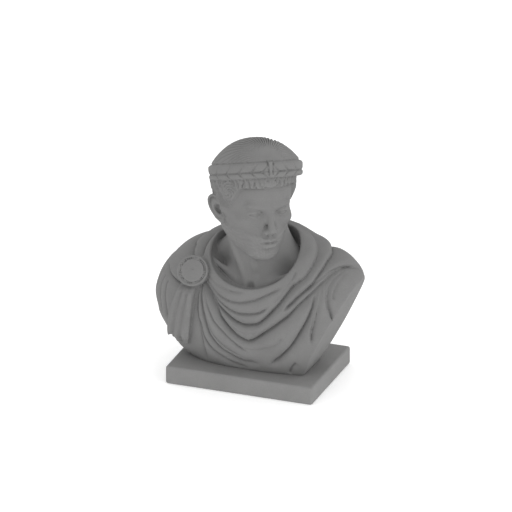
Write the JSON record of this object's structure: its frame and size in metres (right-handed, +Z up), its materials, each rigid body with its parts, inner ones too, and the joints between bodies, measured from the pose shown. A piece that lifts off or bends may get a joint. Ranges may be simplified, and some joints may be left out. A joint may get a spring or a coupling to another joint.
{
  "type": "roman emperor bust",
  "caption": "Draped bust of a laurel-wreathed man, head turned to its left, cloak pinned by a round brooch, on a low slab plinth.",
  "frame": {"origin": "centre of the plinth's underside", "axes": "+Z up, -Y out of the chest to the front, +X to the figure's left"},
  "size_m": [0.5186, 0.2779, 0.6135],
  "materials": {
    "bust_stone": "matt grey cast stone",
    "plinth_stone": "matt grey cast stone"
  },
  "bodies": {
    "root": {"bust": "bust_stone", "plinth": "plinth_stone"}
  },
  "joints": []
}
